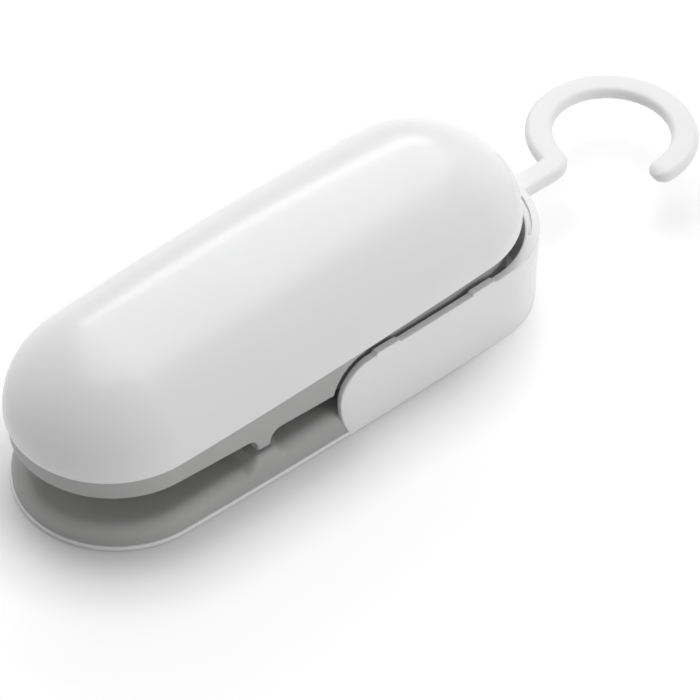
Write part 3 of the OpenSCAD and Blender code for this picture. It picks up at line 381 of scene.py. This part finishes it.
def rounded_sheet(poly, place, thick, radii, step, groove=None):
    """A sheet with rounded edges, from its boundary (s, z); place(s, z, depth) gives a point in space.

    radii(s, z) are those of the outer and the inner edge there, and groove(s, z) gives the two sides of a
    groove between them, as depths, and how deep it is cut.
    """
    poly = np.array(poly, float)
    if np.sum(poly[:, 0] * np.roll(poly[:, 1], -1) - np.roll(poly[:, 0], -1) * poly[:, 1]) < 0:
        poly = poly[::-1]
    outer, inner = np.array([radii(s, z) for s, z in poly]).T
    arc = [(1 - math.sin(a), 1 - math.cos(a)) for a in np.linspace(0, math.pi / 2, 7)]
    rings = [list(zip(outer * d, outer * h)) for d, h in arc]
    if groove:
        cuts = np.array([groove(s, z) for s, z in poly])
        for side, deep in ((0, 0), (0, 1), (1, 1), (1, 0)):
            rings.append(list(zip(cuts[:, 2] * deep, np.clip(cuts[:, side], outer, thick - inner))))
    rings += [list(zip(inner * d, thick - inner * h)) for d, h in reversed(arc)]
    inward, verts = offset(poly, 1.0) - poly, []
    for ring in rings:
        verts += [place(*(p + d * n), h) for p, n, (d, h) in zip(poly, inward, ring)]
    n = len(poly)
    faces = grid_faces(len(rings), n, True)
    flat = poly + inner[:, None] * inward
    core = poly + (inner[:, None] + 0.45 * step) * inward
    lo, hi = flat.min(axis=0), flat.max(axis=0)
    grid = [(s, z) for s in np.arange(lo[0], hi[0], step) for z in np.arange(lo[1] + step, hi[1], 2 * step)
            if inside(core, (s, z))]
    result = delaunay_2d_cdt([Vector(p) for p in list(flat) + grid], [], [list(range(n))], 1, 1e-7)
    points, tris, origin = result[0], result[2], result[3]
    for depth, ring in ((0, 0), (thick, len(rings) - 1)):
        at = []
        for p, o in zip(points, origin):
            if o and o[0] < n:
                at.append(ring * n + o[0])
            else:
                at.append(len(verts))
                verts.append(place(p[0], p[1], depth))
        faces += [[at[i] for i in f] for f in tris]
    return verts, faces


def on_circle(cx, cz, r, a0, a1, n):
    """Points along an arc, from the angle a0 to a1 in degrees."""
    return [(cx + r * math.cos(a), cz + r * math.sin(a)) for a in np.radians(np.linspace(a0, a1, n))]


# Cover: a smooth dome with a rounded lower edge and its own inside

def skin_ring(inset, t):
    """One row of points around the dome's outside or inside, at the angle t up from its edge."""
    out = []
    for k in range(COVER_N):
        p = COVER.at(COVER.length * k / COVER_N, inset) - (COVER_X, 0)
        s = max(-COVER.mid, min(COVER.mid, p[0]))
        f = max(0.0, math.cos(t)) ** (2 / SIDE_POWER)
        x = s + (p[0] - s) * f
        rise = math.sin(t) ** (2 / TOP_POWER)
        h = COVER_H + COVER_CROWN * (1 - (2 * (x - CROWN_BACK) / COVER_L) ** 2) - inset
        out.append((COVER_X + x, p[1] * f, h * rise))
    return out


def build_cover():
    rows = []
    outside = (90, 89, 87, 84.5, 81, 77, 72, 66, 60, 54, 48, 42, 36, 30, 24, 19, 14, 10, 7, 4.5, 2.6)
    for t in np.radians(outside):
        rows.append(skin_ring(0, float(t)))
    for a in np.linspace(0, math.pi / 2, 6):
        d, z = COVER_EDGE_R * (1 - math.cos(a)), COVER_EDGE_R * (1 - math.sin(a))
        rows.append([(*COVER.at(COVER.length * k / COVER_N, d), z) for k in range(COVER_N)])
    for t in np.radians((0, 4, 9, 15, 22, 30, 40, 50, 60, 70, 80, 86, 90)):
        rows.append(skin_ring(COVER_WALL, float(t)))
    verts = [p for row in rows for p in row]
    return piece("cover_dome", verts, grid_faces(len(rows), COVER_N, True), WHITE, "cover", "top_cover",
                 at=OPENED @ ON_COVER)


# Base: walls with rounded edges, the rim under the lower jaw, and what stands inside

def wall_depth(p, n):
    """Thickness of the base's wall at an outline point."""
    mid = BASE.mid - (REAR_WALL - WALL)
    if p[0] < BASE.mid:
        return WALL + 0.02
    c, s = n
    rho = -(REAR_WALL - WALL) * c + math.sqrt((END_R - WALL) ** 2 - ((BASE.mid - mid) * s) ** 2)
    return END_R - rho


def on_wall(s, z, depth):
    p, q = BASE.at(s), BASE.at(s, 1.0)
    n = p - q
    d = depth / WALL * wall_depth(p, n)
    return (*(p - d * n), z)


def land_rise(x):
    """Height of the raised lands over the rim, with short ramps at their ends."""
    d = min(abs(x - c) for c in LANDS)
    f = max(0.0, min(1.0, (LAND_L / 2 + 0.25 - d) / 0.5))
    return LAND_H * f * f * (3 - 2 * f)


def wall_side():
    """Front edge and top of one wall, from the floor up to the rear end, as (edge length, z)."""
    foot = CHEEK_X + CHEEK_LOW_R - math.sqrt(CHEEK_LOW_R ** 2 - (NOSE_Z - LIP_H) ** 2)
    low = math.degrees(math.asin((NOSE_Z - LIP_H) / CHEEK_LOW_R))
    side = [(foot, 0.0), (foot, LIP_H)]
    side += on_circle(CHEEK_X + CHEEK_LOW_R, NOSE_Z, CHEEK_LOW_R, 180 + low, 180, 14)[1:]
    side += on_circle(CHEEK_X + CHEEK_TOP_R, NOSE_Z, CHEEK_TOP_R, 180, 90, 18)[1:]
    out = [(BASE.edge(x), z) for x, z in spaced(side, 1.2)]
    for x in np.arange(CHEEK_X + CHEEK_TOP_R + 0.5, BASE.mid, 0.25):
        out.append((BASE.edge(x), RIM_H + land_rise(x)))
    start = BASE.edge(BASE.mid)
    out += [(s, RIM_H) for s in np.linspace(start, BASE.length / 2, 26)]
    return out


def rear_seam(s, z):
    """The seam in the top of the rear wall, as a groove of a sheet; it runs out at its ends."""
    p, q = BASE.at(s), BASE.at(s, 1.0)
    scale = WALL / max(wall_depth(p, p - q), 2.3)
    run = max(0.0, min(1.0, (p[0] - SEAM_X) / 0.6)) if z > RIM_H - 0.01 else 0.0
    return SEAM_IN * scale, (SEAM_IN + SEAM_W) * scale, SEAM_H * run


def build_walls():
    near = wall_side()
    far = [(BASE.length - s, z) for s, z in reversed(near[:-1])]
    bottom = spaced([far[-1], near[0]], 1.2)[1:-1]

    def edge_radii(s, z):
        """The cheeks' front edges are thinned from inside; the tops are crisp."""
        thinned = max(0.0, min(1.0, (CHEEK_X + CHEEK_TOP_R - BASE.at(s)[0]) / (0.7 * CHEEK_TOP_R)))
        return 0.25 + 0.05 * thinned, 0.25 + 0.55 * thinned

    verts, faces = rounded_sheet(near + far + bottom, on_wall, WALL, edge_radii, 1.6, rear_seam)
    return piece("base_walls", verts, faces, WHITE, "base", "base_shell")


def build_rim():
    """The white rim under the lower jaw, its ends tucked into the walls."""
    end = BASE.edge(2.0)
    stations = np.linspace(-end, end, 260)
    r, foot, foot_h = 0.22, 0.75, 0.5
    outer = [(2.4, 0.0)]
    outer += [(foot * (1 - math.sin(a)), foot_h * (1 - math.cos(a))) for a in np.linspace(0, math.pi / 2, 7)]
    outer += [(r * (1 - math.cos(a)), LIP_H - r * (1 - math.sin(a))) for a in np.linspace(0, math.pi / 2, 6)]
    outer += [(2.4, LIP_H), (2.4, LIP_H / 2)]
    verts = []
    for s in stations:
        x = BASE.at(s)[0]
        tuck = 0.12 * max(0.0, min(1.0, (x + 0.4) / 1.0))
        for d, z in outer:
            verts.append((*BASE.at(s, d + tuck), z))
    n = len(outer)
    faces = grid_faces(len(stations), n, True)
    faces += [list(range(n)), list(range(len(verts) - n, len(verts)))]
    return piece("base_rim", verts, faces, WHITE, "base", "base_shell")


def cad_copy(node):
    """Points in millimetres and faces of a CAD node."""
    data = nodes[node].data
    return [np.array(v.co) / MM for v in data.vertices], [list(p.vertices) for p in data.polygons]


def build_base_inside():
    """Floor, screw seats, posts and stops, kept clear of the walls and rim that cover them."""
    verts, faces = cad_copy("base_shell")
    out, shut, boss = [], set(), set()
    for i, v in enumerate(verts):
        d, n = BASE.inset(v)
        p = BASE.at(BASE.edge(v[0])) if abs(v[0]) < BASE.mid else v[:2] + d * n
        wall = wall_depth(p, n) if v[0] > CHEEK_X - 1 else 0
        if v[0] > BASE.mid and math.hypot(v[1], v[2] - HOOK_Z) < BOSS_R and d > wall - 0.1:
            boss.add(i)
        elif v[2] > FLOOR_TOP and d < wall + 0.06:
            shut.add(i)
        if v[2] <= FLOOR_TOP and d < FLOOR_IN:
            v = np.array((*(v[:2] - (FLOOR_IN - d) * n), min(v[2], 1.0) + 0.01))
        out.append(v)
    faces = [f for f in faces if not shut.intersection(f) and len(boss.intersection(f)) in (0, len(f))]
    return piece("base_inside", out, faces, WHITE, "base", "base_shell", 30)


# Lower jaw: a soft-shouldered lip that falls towards the mouth

def lower_top(x):
    return LOWER_Z + (x - RIDGE_X) * math.tan(math.radians(LOWER_SLOPE))


def anvil_rise(x):
    """Height over the lower jaw's top of the ridge that carries the pad; the top flows into it."""
    f = max(0.0, min(1.0, (ANVIL_W / 2 + ANVIL_FLOW - abs(x - RIDGE_X)) / (ANVIL_FLOW + 0.4)))
    return (ANVIL_STOP - LOWER_Z) * f * f * (3 - 2 * f)


def build_lower_jaw():
    verts = []
    end = BASE.edge(LOWER_END)
    cut = [BASE.edge(x) for x in (-0.45, -0.3, -0.1, 0.2)]
    ridge = np.linspace(0, ANVIL_W / 2 + ANVIL_FLOW, 28)
    ridge = [BASE.edge(RIDGE_X + side * d) for d in ridge for side in (-1, 1)]
    sides = [s for s in np.linspace(0, cut[0], 110) if not min(ridge) < s < max(ridge)]
    sides += [*ridge, *cut[1:], *np.linspace(cut[-1], end, 4)]
    stations = sorted({round(float(s) * side, 5) for s in sides for side in (-1, 1)})
    for s in stations:
        x = BASE.at(s)[0]
        step = max(0.0, min(1.0, (x + 0.45) / 0.5))
        inn = LOWER_IN + step * (WALL + 0.12 - LOWER_IN)
        rise = anvil_rise(x)
        r = 2.6 - 1.5 * rise / anvil_rise(RIDGE_X)
        spine = np.array((max(-BASE.mid, min(BASE.mid, x)), 0.0))
        line = [(*spine, LIP_H + 0.02), (*BASE.at(s, inn + 0.2), LIP_H + 0.02)]
        line.append((*BASE.at(s, inn), LIP_H + 0.2))
        for a in np.linspace(0, math.pi / 2, 9):
            p = BASE.at(s, inn + r * (1 - math.cos(a)))
            line.append((*p, lower_top(p[0]) + rise - r * (1 - math.sin(a))))
        edge = np.array(line[-1][:2])
        stop = max(0.05, 1 - STOP_Y / max(abs(edge[1]), 0.1))
        for f in (stop, stop + 0.01, 0.35, 0.65, 1.0):
            p = edge + (spine - edge) * f
            z = lower_top(p[0]) + rise
            line.append((*p, z if f == stop else min(z, ANVIL_TOP)))
        rows = len(line)
        verts += line
    faces = grid_faces(len(stations), rows, False)
    faces += [list(range(rows)), list(range(len(verts) - rows, len(verts)))]
    return piece("lower_jaw_lip", verts, faces, GREY_LOW, "base", "lower_jaw")


# Upper jaw: the grey band with its teeth, over the tray

def part_z(x):
    return FACE_Z + PART_H + (x - PIVOT_X) * math.tan(math.radians(PART_ANGLE)) - 0.05


def tooth():
    """Lower edge of the band around the sealing ridge, from the rear to the front, as (x, z)."""
    tip, half, f, c = FACE_Z - RIDGE_H, RIDGE_TIP / 2, RIDGE_FILLET, 0.45
    rear = on_circle(RIDGE_X + half + f, FACE_Z - f, f, 90, 180, 9)
    rear += on_circle(RIDGE_X + half - c, tip + c, c, 0, -90, 5)
    front = [(2 * RIDGE_X - x, z) for x, z in reversed(rear)]
    return rear + front


def build_band():
    gap_r, cx = CHEEK_TOP_R + CHEEK_GAP, CHEEK_X + CHEEK_TOP_R
    a0 = 180 - math.degrees(math.asin((FACE_Z - NOSE_Z) / gap_r))
    a1 = 180 - math.degrees(math.acos((cx - BAND_END_X) / gap_r))
    end = [(BAND_END_X, part_z(BAND_END_X))] + on_circle(cx, NOSE_Z, gap_r, a1, a0, 16)
    side = spaced(end, 0.7) + spaced([(end[-1][0] - 0.4, FACE_Z), tooth()[0]], 1.2) + tooth()[1:]
    near = [(COVER.edge(x), z) for x, z in side]
    low = spaced([near[-1], (0.0, FACE_Z)], 1.0)[1:]
    low += [(-s, z) for s, z in reversed(low[:-1])]
    far = [(-s, z) for s, z in reversed(near)]
    along_top = np.linspace(far[-1][0], near[0][0], 200)[1:-1]
    top = [(s, part_z(COVER.at(s, BAND_IN)[0])) for s in along_top]

    def place(s, z, depth):
        tall = max(1.0, part_z(COVER.at(s)[0]) - FACE_Z)
        down = max(0.0, min(1.0, 1 - (z - FACE_Z) / tall))
        return (*COVER.at(s, BAND_IN + BAND_DRAFT * down + depth), z)

    verts, faces = rounded_sheet(near + low + far + top, place, BAND_T,
                                 lambda s, z: (BAND_EDGE_R, BAND_EDGE_R), 1.5)
    return piece("jaw_band", verts, faces, GREY, "arm", "upper_jaw", at=OPENED)


def build_tray():
    """The tray with its ridge, ears, ribs and contact walls, kept under the band."""
    back = OPENED.inverted()
    verts, faces = cad_copy("upper_jaw")
    out = []
    for v in verts:
        p = back @ Vector(v)
        d, n = COVER.inset(p)
        if d < TRAY_IN:
            q = np.array(p[:2]) - (TRAY_IN - d) * n
            p = Vector((*q, p[2] - (0.12 if p[2] > FACE_Z + 2 else 0)))
        out.append(p)
    return piece("jaw_tray", out, faces, GREY, "arm", "upper_jaw", 30, at=OPENED)


# Return spring: the CAD coil, copied onto the base with a mesh of its own

def build_spring():
    verts, faces = cad_copy("return_spring")
    o = piece("return_coil", verts, faces, SPRING, "base", "return_spring")
    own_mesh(o)


# Hook: a flat bar with rounded edges, bent into an open ring on a round stem

def build_hook():
    turn_a = math.degrees(math.asin(BEND_R / (RING_R + BEND_R)))
    bend_x = RING_X - (RING_R + BEND_R) * math.cos(math.radians(turn_a))
    path = [(x, 0.0, 1.0) for x in np.linspace(BASE_REAR + 0.3, bend_x, 6)[:-1]]
    for a in np.radians(np.linspace(0, 90 - turn_a, 20)[:-1]):
        path.append((bend_x + BEND_R * math.sin(a), BEND_R * (1 - math.cos(a)), 1.0))
    for a in np.radians(np.linspace(180 - turn_a, TIP_ANGLE, 120)):
        path.append((RING_X + RING_R * math.cos(a), RING_R * math.sin(a), 1.0))
    for t in np.radians((10, 20, 30, 40, 50, 60, 70, 78, 84, 88)):
        a = math.radians(TIP_ANGLE) - BAR_W / 2 * math.sin(t) / RING_R
        path.append((RING_X + RING_R * math.cos(a), RING_R * math.sin(a), math.cos(t)))
    section = []
    for q in range(4):
        sx, sy = (1, -1, -1, 1)[q], (1, 1, -1, -1)[q]
        for a in np.radians(np.linspace(90 * q, 90 * q + 90, 8)):
            section.append((sx * (BAR_W / 2 - BAR_ROUND) + BAR_ROUND * math.cos(a),
                            sy * (BAR_T / 2 - BAR_ROUND) + BAR_ROUND * math.sin(a)))
    verts, n = [], len(section)
    for i, (x, y, size) in enumerate(path):
        a, b = path[max(0, i - 1)], path[min(len(path) - 1, i + 1)]
        d = np.array((b[0] - a[0], b[1] - a[1]))
        d /= np.linalg.norm(d)
        u = np.array((d[1], -d[0]))
        for w, h in section:
            verts.append((x + u[0] * w * size, y + u[1] * w * size, HOOK_Z + h * size))
    faces = grid_faces(len(path), n, True)
    faces += [list(range(n)), list(range(len(verts) - n, len(verts)))]
    base = len(verts)
    rows = [(STEM_X, STEM_D / 2 - STEM_ROOT), (STEM_X + STEM_ROOT, STEM_D / 2), (bend_x, STEM_D / 2)]
    for x, r in rows:
        verts += [(x, r * math.cos(a), HOOK_Z + r * math.sin(a))
                  for a in np.linspace(0, math.tau, STEM_N + 1)[:-1]]
    faces += [tuple(base + i for i in f) for f in grid_faces(len(rows), STEM_N, True)]
    faces += [list(range(base, base + STEM_N)), list(range(len(verts) - STEM_N, len(verts)))]
    return piece("hanging_hook", verts, faces, WHITE_HOOK, "hook", "hook")


build_cover()
build_walls()
build_rim()
build_base_inside()
build_lower_jaw()
build_band()
build_tray()
build_spring()
build_hook()


# Stage, light and camera

def shows_background(t):
    """1 for the rays that show the background itself: camera, glossy and transmission rays."""
    path = t.nodes.new("ShaderNodeLightPath")
    seen = path.outputs["Is Camera Ray"]
    for name in ("Is Glossy Ray", "Is Transmission Ray"):
        either = t.nodes.new("ShaderNodeMath")
        either.operation = "MAXIMUM"
        t.links.new(seen, either.inputs[0])
        t.links.new(path.outputs[name], either.inputs[1])
        seen = either.outputs[0]
    return seen


def floor_material():
    """White paper: it catches the shadow, and the camera sees it as a white ground, with a painted shadow
    around the object where its glow is held low.
    """
    m, t, b = mat_nodes("white_floor")
    b.inputs["Base Color"].default_value = (0.8, 0.8, 0.8, 1)
    b.inputs["Roughness"].default_value = 0.9
    b.inputs["Specular IOR Level"].default_value = 0.1
    # The ground brightens away from the object, by the distance from a line under the object that stops short
    # of its rear end: a painted shadow, dark near the body and fading further off, and painted light that
    # lifts the shadow behind the rear end
    coord = t.nodes.new("ShaderNodeTexCoord")
    split = t.nodes.new("ShaderNodeSeparateXYZ")
    link(t, coord, "Object", split, "Vector")
    near = t.nodes.new("ShaderNodeClamp")
    near.inputs["Min"].default_value = -BASE.mid * MM
    near.inputs["Max"].default_value = 0.5 * BASE.mid * MM
    link(t, split, "X", near, "Value")
    foot = t.nodes.new("ShaderNodeCombineXYZ")
    link(t, near, 0, foot, "X")
    away = t.nodes.new("ShaderNodeVectorMath")
    away.operation = "DISTANCE"
    link(t, coord, "Object", away, 0)
    link(t, foot, 0, away, 1)
    spread = t.nodes.new("ShaderNodeMapRange")
    spread.inputs["From Min"].default_value = END_R * MM
    spread.inputs["From Max"].default_value = (END_R + PAINTED_SHADOW_REACH) * MM
    link(t, away, "Value", spread, "Value")
    level = ramp(t, spread, [(at, grey3(v)) for at, v in PAINTED_SHADOW_LEVELS])
    # Far off, where the lamps don't reach, the ground stays as white as it is nearby
    far = t.nodes.new("ShaderNodeMapRange")
    far.inputs["From Min"].default_value, far.inputs["From Max"].default_value = FAR_GROUND
    far.inputs["To Max"].default_value = FAR_GLOW
    link(t, away, "Value", far, "Value")
    total = t.nodes.new("ShaderNodeMath")
    link(t, level, "Color", total, 0)
    link(t, far, 0, total, 1)
    # This emission gives the even white ground and also the painted shadow near the body
    glow_with_painted_shadow = t.nodes.new("ShaderNodeEmission")
    strength = t.nodes.new("ShaderNodeMath")
    strength.operation = "MULTIPLY"
    link(t, total, 0, strength, 1)
    t.links.new(shows_background(t), strength.inputs[0])
    link(t, strength, 0, glow_with_painted_shadow, "Strength")
    add = t.nodes.new("ShaderNodeAddShader")
    link(t, b, 0, add, 0)
    link(t, glow_with_painted_shadow, 0, add, 1)
    link(t, add, 0, t.nodes["Material Output"], "Surface")
    return m


def add_floor():
    mesh = bpy.data.meshes.new("floor")
    s, z = FLOOR_HALF, FLOOR_Z
    mesh.from_pydata([(-s, -s, z), (s, -s, z), (s, s, z), (-s, s, z)], [], [(0, 1, 2, 3)])
    o = bpy.data.objects.new("floor", mesh)
    bpy.context.scene.collection.objects.link(o)
    o.data.materials.append(floor_material())


def area_light(name, place, target, size, power, mirrored=True):
    """A lamp aimed at a target; one that isn't mirrored leaves no highlight."""
    light = bpy.data.lights.new(name, "AREA")
    light.shape = "RECTANGLE"
    light.size, light.size_y = size
    light.energy = power
    o = bpy.data.objects.new(name, light)
    o.location = place
    o.rotation_mode = "QUATERNION"
    o.rotation_quaternion = (Vector(target) - Vector(place)).to_track_quat("-Z", "Y")
    o.visible_glossy = mirrored
    bpy.context.scene.collection.objects.link(o)


def add_world():
    w = bpy.data.worlds.new("studio")
    bpy.context.scene.world = w
    w.use_nodes = True
    t = w.node_tree
    bg = t.nodes["Background"]
    level = t.nodes.new("ShaderNodeMapRange")
    level.inputs["To Min"].default_value = 0.36
    level.inputs["To Max"].default_value = 1.0
    t.links.new(shows_background(t), level.inputs["Value"])
    bg.inputs["Color"].default_value = (1, 1, 1, 1)
    link(t, level, 0, bg, "Strength")


def add_camera():
    """Fitted to the photograph: its eye, its three axes and its lens."""
    cam = bpy.data.cameras.new("camera")
    o = bpy.data.objects.new("camera", cam)
    o.location = (-0.27809, -0.32644, 0.41962)
    o.rotation_mode = "QUATERNION"
    right, up = (0.751295, -0.659815, 0.014154), (0.450150, 0.528009, 0.720119)
    o.rotation_quaternion = Matrix((right, up, Vector(right).cross(up))).transposed().to_quaternion()
    cam.sensor_width = 36
    cam.lens = 172.05
    cam.clip_start, cam.clip_end = 0.01, 20
    bpy.context.scene.collection.objects.link(o)
    bpy.context.scene.camera = o


add_floor()
add_world()
area_light("key", (0.66, 0.99, 0.66), (0, 0, 0.01), (0.8, 0.15), 2.5)
area_light("soft", (0.26, 0.36, 0.88), (0, 0, 0.01), (1.0, 1.0), 6.2)
area_light("side", (0.6, -1.0, 0.25), (0, 0, 0.01), (1.0, 0.3), 4.5, False)
add_camera()
bpy.context.scene.view_settings.view_transform = "Standard"
